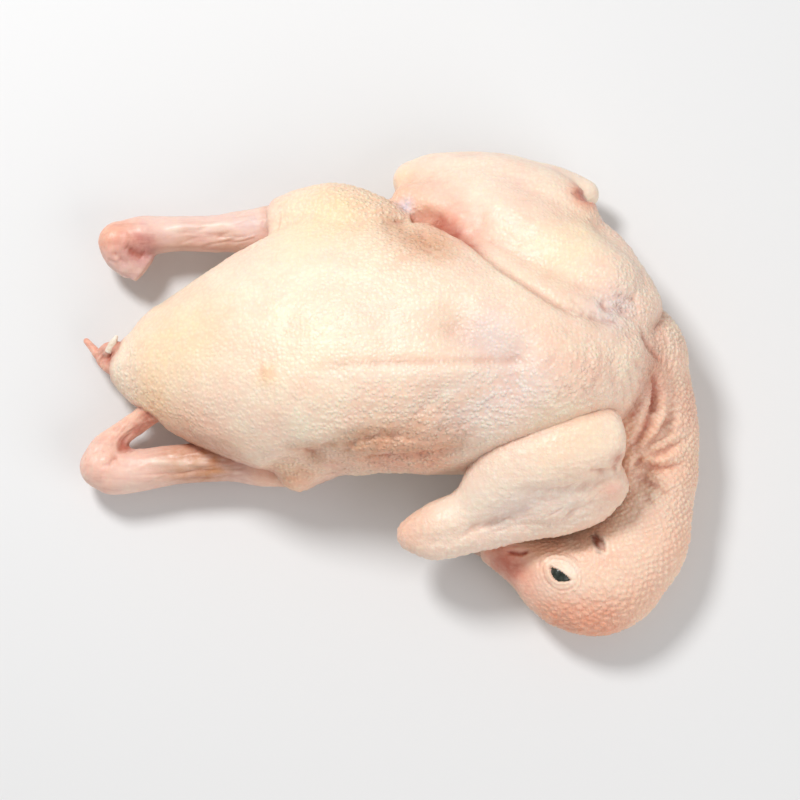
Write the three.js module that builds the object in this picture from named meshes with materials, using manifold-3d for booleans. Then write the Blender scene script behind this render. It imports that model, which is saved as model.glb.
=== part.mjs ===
// A whole raw pigeon, plucked and dressed, lying on its back: breast up, neck curled round the left
// shoulder, the right side of the head up, wings folded with the hands cut off at the wrists.
// One piece of meat, so one closed solid. Millimetres, +Z up, +X from the tail to the neck, and +Y towards
// the bird's right wing. The origin is the middle of the box round the bird, on the face that it lies on.
import * as THREE from 'three';
import { LoftGeometry } from 'three/addons/geometries/LoftGeometry.js';
import { mergeVertices } from 'three/addons/utils/BufferGeometryUtils.js';
import Module from 'manifold-3d';

// Driving dimensions, in mm
const trunkLength = 164;   // tail root to the front of the breast
const trunkBreadth = 74;   // across the flanks at the middle of the keel
const trunkDepth = 62;     // back to keel
const tailX = -82.5;       // where the trunk starts
const keelY = 1.5;         // the keel leans to the left of the trunk's middle
const flankY = 11;         // middle of the trunk between the flanks
const restHeight = 0;      // height of the flat underside, where the soft flesh gives under its own weight
const eyeballRadius = 4.9;
const eyeballShows = 1.1;  // how far the lids bulge out of the head
const headTop = 24.6;      // height of the side of the head round the eye

// Fineness of the faceted skin
const trunkRings = 26;
const trunkSides = 32;
const limbSides = 16;
const limbStep = 7;        // mm between a limb's rings
const domeRings = 3;       // rings that round off each end of a limb
const domeReach = 0.94;    // share of a quarter circle that the last of them stands at
const cutSide = 400;       // side of the block that cuts the underside flat, larger than the bird

// The trunk from tail to crop. along: share of the length. left, right: flank distances from flankY and
// top: height of the keel line, each as a share of half the breadth or of the depth. beam: height of the
// widest level and back: height of the lowest, in mm. lean: mm that the top line is off keelY.
const trunkStations = [
  { along: -0.003, left: 0.19, right: 0.03, top: 0.24, beam: 9.5, back: 4.5, lean: 6 },
  { along: 0.033, left: 0.37, right: 0.20, top: 0.35, beam: 12.0, back: 2.5, lean: 5.5 },
  { along: 0.080, left: 0.51, right: 0.38, top: 0.47, beam: 15.0, back: 1.0, lean: 4.5 },
  { along: 0.165, left: 0.76, right: 0.61, top: 0.66, beam: 20.0, back: -1.0, lean: 2.5 },
  { along: 0.260, left: 0.93, right: 0.86, top: 0.82, beam: 24.0, back: -1.5, lean: 0.5 },
  { along: 0.350, left: 0.95, right: 1.00, top: 0.91, beam: 26.0, back: -1.5, lean: 0 },
  { along: 0.440, left: 0.97, right: 1.03, top: 0.96, beam: 26.5, back: -1.5, lean: 1 },
  { along: 0.530, left: 0.99, right: 1.05, top: 0.985, beam: 27.0, back: -1.5, lean: 1.5 },
  { along: 0.620, left: 0.99, right: 1.00, top: 1.00, beam: 27.0, back: -1.5, lean: 2.5 },
  { along: 0.700, left: 0.97, right: 0.84, top: 1.00, beam: 27.0, back: -1.5, lean: 3 },
  { along: 0.800, left: 0.90, right: 0.68, top: 0.975, beam: 27.0, back: -1.0, lean: 3.5 },
  { along: 0.885, left: 0.74, right: 0.54, top: 0.88, beam: 27.0, back: 1.0, lean: 4 },
  { along: 0.945, left: 0.55, right: 0.38, top: 0.75, beam: 27.0, back: 5.0, lean: 4.5 },
  { along: 1.000, left: 0.28, right: 0.14, top: 0.56, beam: 28.0, back: 14.0, lean: 5 },
];
const upperFullness = 2.0;  // superellipse powers of the breast and of the back
const lowerFullness = 2.7;

// Every limb as the named places that its middle line passes. Each row holds x, y, z, half width and half
// height in mm and, where the section is tilted about the line, the tilt in degrees.
const limbs = {
  rightThigh: [[3.4, 27.8, 26, 18, 19], [-5.8, 42, 23, 16, 17], [-14.9, 49, 20, 13, 14.5],
    [-23.9, 50.6, 17, 10.5, 12], [-32, 50.2, 14.8, 8.6, 9.8]],
  rightDrumstick: [[-20, 50, 15, 8.2, 9], [-34.6, 49.5, 13.5, 7.2, 8.2],
    [-43.6, 48.8, 12.5, 6.3, 7.2], [-54.8, 48.5, 11.5, 5.5, 6.2], [-64.8, 48.5, 11, 5.3, 5.9],
    [-73.8, 47.6, 11, 6.2, 6.6], [-79.6, 46, 11, 6.3, 6.8]],
  rightHock: [[-80.2, 46, 11, 6.4, 6.8], [-79.4, 42.6, 10.8, 6, 6.2], [-77.4, 40, 10.4, 5, 5.2]],
  rightFlap: [[-78.8, 42.4, 11, 5, 4.6], [-75.4, 39.8, 11.5, 5.4, 3.2], [-72.8, 38, 11.5, 5, 2.4]],
  leftThigh: [[5.9, 0.7, 24, 17, 17], [-7.4, -10.9, 21, 15, 15.5],
    [-16.4, -15.2, 18.5, 11.5, 12.5], [-23, -19.5, 17, 9.5, 10.5], [-28.5, -23.3, 15.5, 7.4, 9]],
  leftDrumstick: [[-20, -19, 15, 7.6, 8.6], [-37, -20.6, 12.5, 7.4, 8.6],
    [-45.2, -20.7, 12, 6.3, 7.6], [-54.2, -21.1, 11.5, 5.9, 7], [-63.3, -22, 11, 5.8, 6.6],
    [-72.4, -23.1, 10.5, 6.5, 6.9], [-80.5, -23.4, 10.5, 7.4, 7.4], [-85, -22.2, 10.5, 6.9, 7.1]],
  leftShank: [[-85, -22.2, 10.5, 6.7, 6.9], [-83.8, -17.4, 10.5, 5.6, 5.8],
    [-80.2, -13.4, 10.5, 4.2, 4.7], [-75, -9.6, 11.5, 3.7, 4], [-69.1, -5.3, 14, 3.6, 3.8],
    [-60, -0.6, 18, 3.4, 3.6]],
  rightForearm: [[8.2, 64.9, 11, 6, 7, -8], [16.6, 66.5, 12, 6.6, 7.4, -10],
    [28.6, 66.6, 13, 6.4, 7.6, -12], [40.6, 65.3, 13.5, 6.2, 7.8, -12],
    [51.1, 63.2, 13.5, 5.6, 7.2, -12], [58.8, 61, 13, 4, 5.6, -12]],
  rightHumerus: [[8.9, 61.8, 11, 6, 7, -10], [16.5, 60.3, 14, 9, 9.5, -16],
    [26.9, 54.4, 21, 12, 13, -22], [38.6, 44.9, 27, 14.5, 15, -24], [51, 34.7, 31, 16, 16, -24],
    [62.5, 27.3, 32, 14, 16, -20]],
  rightPlate: [[14.5, 64, 13, 8, 8, -16], [25.5, 60.8, 17, 11, 10.5, -22],
    [37.3, 56.5, 20, 13.5, 13, -26], [47, 52, 22, 13.5, 14.5, -28], [53, 47, 23, 11.5, 14, -28]],
  rightWeb: [[48, 55, 14.5, 5.5, 7], [53, 49.5, 17.5, 8, 9], [58.6, 41.5, 21, 11.4, 11],
    [63.8, 32.8, 25, 12.8, 14], [69.5, 22.1, 27, 13, 16]],
  rightArmpit: [[7.5, 57, 19, 5.4, 7.5], [12.5, 55, 20.5, 7, 9], [19, 51.5, 24, 8, 10],
    [26, 47, 28, 8, 10]],
  leftHumerus: [[9.3, -43, 23, 5.5, 6.5], [16.3, -40.6, 25.5, 6.6, 7.6, 6],
    [26, -36.6, 28, 7.6, 8.6, 6], [33, -29.8, 32, 10.5, 12, 4], [40, -23.8, 35, 13, 14, 2],
    [51, -19.4, 36.5, 14, 15], [60, -17.6, 36, 12.5, 15], [64.3, -17, 34.5, 11, 13.5]],
  leftForearm: [[9.2, -43.6, 23, 5.5, 6.5], [16.4, -45.3, 24, 5.8, 6.6, 6],
    [28.3, -42.7, 26, 5.9, 6.8, 8], [40.1, -40.2, 27, 6.2, 7, 8], [52, -37.9, 28, 6.6, 7, 8],
    [60.8, -35, 28.5, 6.2, 6.6, 6], [66, -32, 28.5, 4.8, 5.6]],
  leftPlate: [[13.4, -41.6, 23, 6.5, 6, 6], [25.2, -38.2, 26, 8.4, 7.2, 8],
    [37, -32.6, 30, 11.5, 9, 8], [48.8, -30, 31, 12.5, 10, 8], [60.6, -26.1, 31, 12, 10.5, 6],
    [63.5, -23.7, 31, 10.5, 10, 4]],
  neck: [[59.4, 10.6, 24, 15, 16], [73.7, 11.1, 20, 15.5, 16.5], [79.6, 1.4, 15.5, 12.2, 15],
    [81.7, -11.7, 14, 12.2, 14], [81.2, -23.7, 13.2, 12.4, 13.2],
    [78.8, -35.8, 12.8, 13.4, 12.8], [73.7, -47, 12.5, 15.5, 12.6],
    [66.2, -54.8, 12.3, 16.8, 12.6]],
  neckBase: [[60, 12, 26, 16, 16], [70, 6, 25, 14, 16], [75, -5, 21, 12, 14.5],
    [76, -17, 17, 10.5, 12], [73, -26, 14, 9, 11]],
  head: [[73.7, -47, 12.5, 15.5, 12.6], [66.2, -54.8, 12.3, 16.8, 12.8],
    [58.1, -56.7, 12.2, 15.8, 12.6], [50.3, -54.8, 12, 13.2, 12], [43.7, -51.8, 11.5, 9.4, 9.8],
    [38.3, -49.6, 11, 6.6, 7.8], [33.2, -47.4, 10.2, 4.6, 5.8]],
  beak: [[36.5, -48.6, 10.4, 4.3, 5.2], [29.3, -46.2, 9.6, 3.2, 4], [23.3, -44, 8.6, 2.4, 3],
    [17.6, -42, 6.6, 1.2, 1.6]],
  tailStrip: [[-78, 7.5, 11.5, 3.8, 3.8], [-83.2, 8.8, 9.8, 2.8, 2.6],
    [-87, 12.2, 8.6, 1.6, 1.8], [-90.6, 16.2, 7.4, 0.9, 1]],
  tailKnob: [[-79, 12.2, 12.5, 2.8, 2.8], [-82.4, 13.4, 11.4, 2.5, 2.4],
    [-85, 12.2, 10.2, 2.2, 2.2], [-85.6, 10, 9.6, 1.6, 1.8]],
};

// Blunter ends than a half circle, as shares of the limb's thickness.
const domeLengths = {
  rightThigh: 0.3, leftThigh: 0.4, rightFlap: 0.25, leftHumerus: 0.35, leftPlate: 0.5, neckBase: 0.5,
  beak: 0.6,
};

// Where the eyeball lies in the head, under its lids.
const eyeballCentre = [52.8, -54.7, headTop + eyeballShows - eyeballRadius];

// Reads column k of a station list as a smooth function of t from 0 to 1.
function column(stations, k) {
  const values = stations.map((row) => new THREE.Vector3(row[k] ?? 0, 0, 0));
  const curve = new THREE.CatmullRomCurve3(values, false, 'catmullrom');
  return (t) => curve.getPoint(t).x;
}

// A point of a rounded section: a superellipse whose four quarters may differ in width and height.
function superPoint(angle, toRight, toLeft, toTop, toBottom) {
  const c = Math.cos(angle);
  const s = Math.sin(angle);
  const power = 2 / (s > 0 ? upperFullness : lowerFullness);
  const side = Math.sign(c) * Math.abs(c) ** power * (c > 0 ? toRight : toLeft);
  const rise = Math.sign(s) * Math.abs(s) ** power * (s > 0 ? toTop : toBottom);
  return [side, rise];
}

// The trunk is a loft of upright sections along +X.
function trunkGeometry() {
  const keys = ['along', 'left', 'right', 'top', 'beam', 'back', 'lean'];
  const rows = trunkStations.map((station) => keys.map((key) => station[key]));
  const read = Object.fromEntries(keys.map((key, k) => [key, column(rows, k)]));
  const sections = [];
  for (let i = 0; i <= trunkRings; i++) {
    const t = i / trunkRings;
    const x = tailX + read.along(t) * trunkLength;
    const toTop = read.top(t) * trunkDepth - read.beam(t);
    const toBottom = read.beam(t) - read.back(t);
    const crest = keelY + read.lean(t);
    const toLeft = crest - (flankY - read.left(t) * trunkBreadth / 2);
    const toRight = flankY + read.right(t) * trunkBreadth / 2 - crest;
    const section = [];
    for (let j = 0; j < trunkSides; j++) {
      const angle = j / trunkSides * Math.PI * 2;
      const [side, rise] = superPoint(angle, toRight, toLeft, toTop, toBottom);
      section.push(new THREE.Vector3(x, crest + side, read.beam(t) + rise));
    }
    sections.push(section);
  }
  return new LoftGeometry(sections, { capStart: true, capEnd: true });
}

// A limb is a loft of ellipses along a smooth line through its stations, with domed ends.
function limbGeometry(stations, domeLength) {
  const middle = stations.map(([x, y, z]) => new THREE.Vector3(x, y, z));
  const line = new THREE.CatmullRomCurve3(middle, false, 'catmullrom');
  const halfWidth = column(stations, 3);
  const halfHeight = column(stations, 4);
  const tilt = column(stations, 5);
  const steps = Math.max(3, Math.round(line.getLength() / limbStep));
  const marks = [];
  for (let i = 0; i < domeRings; i++) marks.push({ t: 0, dome: -1 + i / domeRings });
  for (let i = 0; i <= steps; i++) marks.push({ t: i / steps, dome: 0 });
  for (let i = 1; i <= domeRings; i++) marks.push({ t: 1, dome: i / domeRings });
  const up = new THREE.Vector3(0, 0, 1);
  const sections = marks.map(({ t, dome }) => {
    const turn = Math.abs(dome) * domeReach * Math.PI / 2;
    const reach = Math.sign(dome) * Math.sin(turn) * Math.min(halfWidth(t), halfHeight(t)) * domeLength;
    const forward = line.getTangent(t);
    const centre = line.getPoint(t).addScaledVector(forward, reach);
    const across = new THREE.Vector3().crossVectors(up, forward).normalize();
    const rise = new THREE.Vector3().crossVectors(forward, across);
    const lean = tilt(t) * Math.PI / 180;
    const section = [];
    for (let j = 0; j < limbSides; j++) {
      const angle = j / limbSides * Math.PI * 2;
      const wide = Math.cos(angle) * halfWidth(t) * Math.cos(turn);
      const high = Math.sin(angle) * halfHeight(t) * Math.cos(turn);
      section.push(centre.clone()
        .addScaledVector(across, wide * Math.cos(lean) - high * Math.sin(lean))
        .addScaledVector(rise, wide * Math.sin(lean) + high * Math.cos(lean)));
    }
    return section;
  });
  return new LoftGeometry(sections, { capStart: true, capEnd: true });
}

const wasm = await Module();
wasm.setup();

// A closed geometry as a manifold-3d solid, turned right side out.
function solidOf(geometry) {
  const bare = new THREE.BufferGeometry();
  bare.setAttribute('position', geometry.attributes.position);
  bare.setIndex(geometry.index);
  const merged = mergeVertices(bare);
  const vertProperties = merged.attributes.position.array;
  const triVerts = new Uint32Array(merged.index.array);
  const solid = new wasm.Manifold(new wasm.Mesh({ numProp: 3, vertProperties, triVerts }));
  if (solid.volume() > 0) return solid;
  const flipped = triVerts.slice().reverse();
  return new wasm.Manifold(new wasm.Mesh({ numProp: 3, vertProperties, triVerts: flipped }));
}

// A solid back as a three.js geometry.
function geometryOf(solid) {
  const mesh = solid.getMesh();
  const geometry = new THREE.BufferGeometry();
  geometry.setAttribute('position', new THREE.BufferAttribute(mesh.vertProperties, 3));
  geometry.setIndex(new THREE.BufferAttribute(mesh.triVerts, 1));
  geometry.computeVertexNormals();
  return geometry;
}

// Joins the trunk, the limbs and the bulge of the eye, then cuts the underside flat.
function pigeonGeometry() {
  let whole = solidOf(trunkGeometry());
  for (const [name, stations] of Object.entries(limbs)) {
    whole = whole.add(solidOf(limbGeometry(stations, domeLengths[name] ?? 1)));
  }
  const eyeball = new THREE.SphereGeometry(eyeballRadius, limbSides, limbSides / 2);
  eyeball.translate(...eyeballCentre);
  whole = whole.add(solidOf(eyeball));
  const below = new THREE.BoxGeometry(cutSide, cutSide, cutSide);
  below.translate(0, 0, restHeight - cutSide / 2);
  whole = whole.subtract(solidOf(below));
  return geometryOf(whole);
}

const rawSkin = new THREE.MeshStandardMaterial({ color: 0xf6dcc2, roughness: 0.45, metalness: 0 });
const pigeon = new THREE.Mesh(pigeonGeometry(), rawSkin);
pigeon.name = 'pigeon';
const whole = new THREE.Group();
whole.add(pigeon);

export default whole;
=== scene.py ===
import math

import bpy
import numpy as np
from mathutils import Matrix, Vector


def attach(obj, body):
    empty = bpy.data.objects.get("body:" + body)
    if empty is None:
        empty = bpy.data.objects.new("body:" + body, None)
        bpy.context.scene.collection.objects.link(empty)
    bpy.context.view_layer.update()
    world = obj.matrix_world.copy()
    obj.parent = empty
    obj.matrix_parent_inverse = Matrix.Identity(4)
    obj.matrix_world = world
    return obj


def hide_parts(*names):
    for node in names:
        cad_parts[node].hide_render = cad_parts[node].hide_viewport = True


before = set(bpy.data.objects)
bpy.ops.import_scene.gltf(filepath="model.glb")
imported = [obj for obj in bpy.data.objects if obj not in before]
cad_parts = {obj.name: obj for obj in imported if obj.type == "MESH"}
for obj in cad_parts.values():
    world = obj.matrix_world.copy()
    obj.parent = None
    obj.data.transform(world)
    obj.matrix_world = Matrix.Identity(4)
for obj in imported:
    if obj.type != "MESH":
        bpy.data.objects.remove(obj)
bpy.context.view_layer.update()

mm = 0.001

# The camera looks down on the bird, 7 degrees from straight above. Marks on the skin further down are
# placed by pixels of this view, in a picture 800 wide and 800 high.
camera = {"elevation": 83, "distance": 900, "lens": 135, "sensor": 36, "picture": 800, "aim": [4.5, -2.7, 15]}
viewTilt = math.radians(camera["elevation"])
viewBack = np.array([0, -math.cos(viewTilt), math.sin(viewTilt)])
viewUp = np.array([0, math.sin(viewTilt), math.cos(viewTilt)])


# Where the camera sees points: pixels across and down, then how far off they are in mm
def seen(points):
    gap = points - np.array(camera["aim"], float)
    far = camera["distance"] - gap @ viewBack
    zoom = camera["picture"] * camera["lens"] / camera["sensor"]
    middle = camera["picture"] / 2
    return np.stack([middle + zoom * gap[:, 0] / far, middle - zoom * (gap @ viewUp) / far, far], 1)


# A smooth line through rows of numbers: each stretch is the cubic that leaves and meets its ends with
# half the difference of the rows on either side, and the two outer ends are continued straight
def lineThrough(rows, count):
    rows = np.asarray(rows, float)
    rows = np.vstack([2 * rows[0] - rows[1], rows, 2 * rows[-1] - rows[-2]])
    place = np.linspace(0, len(rows) - 3, count)
    first = np.minimum(place.astype(int), len(rows) - 4)
    f = (place - first)[:, None]
    a, b, c, d = rows[first], rows[first + 1], rows[first + 2], rows[first + 3]
    return b + 0.5 * f * (c - a + f * (2 * a - 5 * b + 4 * c - d + f * (3 * (b - c) + d - a)))


def unit(v):
    return v / np.maximum(np.linalg.norm(v, axis=-1, keepdims=True), 1e-9)


def soften(x):
    x = np.clip(x, 0, 1)
    return x * x * (3 - 2 * x)


# Rings of points, first to last, as one closed skin: quads between rings and one face over each end
def ringsToSkin(rings):
    count, around = rings.shape[:2]
    i, j = np.meshgrid(np.arange(count - 1), np.arange(around), indexing="ij")
    n = (j + 1) % around
    quads = np.stack([i * around + j, i * around + n, (i + 1) * around + n, (i + 1) * around + j], -1)
    ends = [list(range(around))[::-1], list(range((count - 1) * around, count * around))]
    return rings.reshape(-1, 3), quads.reshape(-1, 4).tolist() + ends


# A limb: an ellipse carried along a smooth line in steps of so many mm, its width and height read from the
# same rows and its section tilted about the line. Past each end it shrinks as a quarter circle, so the ends
# are domes, each as long as the smaller half size times domeLength. domeEnd is the turn of the last ring, as a
# share of pi.
def carriedEllipse(rows, domeLength=1.0, around=48, step=1.2, domeRings=7, domeEnd=0.47):
    rows = np.asarray(rows, float)
    length = np.linalg.norm(np.diff(rows[:, :3], axis=0), axis=1).sum()
    line = lineThrough(rows, max(6, int(length / step)))
    along = unit(np.gradient(line[:, :3], axis=0))
    turn = np.linspace(0, domeEnd * np.pi, domeRings + 1)[1:]
    index = np.r_[np.zeros(domeRings, int), np.arange(len(line)), np.full(domeRings, len(line) - 1)]
    turn = np.r_[-turn[::-1], np.zeros(len(line)), turn]
    line, along = line[index], along[index]
    across = unit(np.cross([0, 0, 1], along))
    rise = np.cross(along, across)
    tilt = np.radians(line[:, 5:6])
    across, rise = across * np.cos(tilt) + rise * np.sin(tilt), rise * np.cos(tilt) - across * np.sin(tilt)
    reach = np.sin(turn) * np.minimum(line[:, 3], line[:, 4]) * domeLength
    centre = line[:, :3] + along * reach[:, None]
    angle = np.linspace(0, 2 * np.pi, around, endpoint=False)
    wide = (np.cos(turn) * line[:, 3])[:, None, None] * np.cos(angle)[:, None]
    high = (np.cos(turn) * line[:, 4])[:, None, None] * np.sin(angle)[:, None]
    return ringsToSkin(centre[:, None] + wide * across[:, None] + high * rise[:, None])


# A number from 0 to 1 for each cell of a grid, always the same for the same cell and seed. The large primes
# only scramble its bits.
def cellNumber(cell, seed):
    h = cell.astype(np.int64).astype(np.uint64)
    h = h[..., 0] * np.uint64(73856093) ^ h[..., 1] * np.uint64(19349663) ^ h[..., 2] * np.uint64(83492791)
    h = (h ^ np.uint64(seed * 2654435761)) & np.uint64(0xFFFFFFFF)
    h = (h ^ h >> np.uint64(15)) * np.uint64(2246822519) & np.uint64(0xFFFFFFFF)
    h = (h ^ h >> np.uint64(13)) * np.uint64(3266489917) & np.uint64(0xFFFFFFFF)
    return (h ^ h >> np.uint64(16)) / 2.0 ** 32


# Soft noise from -1 to 1: cell numbers at the corners of a grid, blended between them by 6f^5 - 15f^4 + 10f^3
# of the share f of the way across
def softNoise(points, size, seed):
    q = points / size
    cell = np.floor(q)
    f = q - cell
    f = f * f * f * (f * (f * 6 - 15) + 10)
    total = 0
    for corner in np.ndindex(2, 2, 2):
        weight = np.prod(np.where(corner, f, 1 - f), axis=1)
        total = total + weight * cellNumber(cell + corner, seed)
    return total * 2 - 1


# Distance to the nearest of points scattered one to a cell, in cells: 0 at each, about 0.6 between them
def pebbleDistance(points, size, seed, scatter=0.6):
    q = points / size
    cell = np.floor(q)
    nearest = np.full(len(q), 9.0)
    for corner in np.ndindex(3, 3, 3):
        c = cell + corner - 1
        spot = np.stack([c[:, k] + 0.5 + scatter * (cellNumber(c, seed + k) - 0.5) for k in range(3)], 1)
        nearest = np.minimum(nearest, np.sum((q - spot) ** 2, 1))
    return np.sqrt(nearest)


trunk = {
    "length": 164, "breadth": 74, "depth": 62, "tailX": -82.5, "keelY": 1.5, "flankY": 11,
    "upperFullness": 2.0, "lowerFullness": 2.7,
    # along as a share of length, left and right flank as shares of half the breadth, top as a share of depth,
    # then in mm the height of the widest level, of the lowest, and how far the crest is off keelY
    "stations": [
        [-0.003, 0.19, 0.03, 0.24, 9.5, 4.5, 6],
        [0.033, 0.37, 0.20, 0.35, 12.0, 2.5, 5.5],
        [0.080, 0.51, 0.38, 0.47, 15.0, 1.0, 4.5],
        [0.165, 0.76, 0.61, 0.66, 20.0, -1.0, 2.5],
        [0.260, 0.93, 0.86, 0.82, 24.0, -1.5, 0.5],
        [0.350, 0.95, 1.00, 0.91, 26.0, -1.5, 0],
        [0.440, 0.97, 1.03, 0.96, 26.5, -1.5, 1],
        [0.530, 0.99, 1.05, 0.985, 27.0, -1.5, 1.5],
        [0.620, 0.99, 1.00, 1.00, 27.0, -1.5, 2.5],
        [0.700, 0.97, 0.84, 1.00, 27.0, -1.5, 3],
        [0.800, 0.90, 0.68, 0.975, 27.0, -1.0, 3.5],
        [0.885, 0.74, 0.54, 0.88, 27.0, 1.0, 4],
        [0.945, 0.55, 0.38, 0.75, 27.0, 5.0, 4.5],
        [1.000, 0.28, 0.14, 0.56, 28.0, 14.0, 5],
    ],
}


# The trunk: upright sections along the body, each made of four quarters of a superellipse that meet at the
# crest, the flanks and the back
def trunkSkin(count=120, around=120):
    t = lineThrough(trunk["stations"], count)
    half = trunk["breadth"] / 2
    x = trunk["tailX"] + t[:, 0] * trunk["length"]
    crest = trunk["keelY"] + t[:, 6]
    toLeft = crest - (trunk["flankY"] - t[:, 1] * half)
    toRight = trunk["flankY"] + t[:, 2] * half - crest
    top, beam, back = t[:, 3] * trunk["depth"], t[:, 4], t[:, 5]
    angle = np.linspace(0, 2 * np.pi, around, endpoint=False)[None]
    c, s = np.cos(angle), np.sin(angle)
    power = 2 / np.where(s > 0, trunk["upperFullness"], trunk["lowerFullness"])
    side = np.sign(c) * np.abs(c) ** power * np.where(c > 0, toRight[:, None], toLeft[:, None])
    rise = np.sign(s) * np.abs(s) ** power * np.where(s > 0, (top - beam)[:, None], (beam - back)[:, None])
    x = np.broadcast_to(x[:, None], side.shape)
    return ringsToSkin(np.stack([x, crest[:, None] + side, beam[:, None] + rise], -1))


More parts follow.
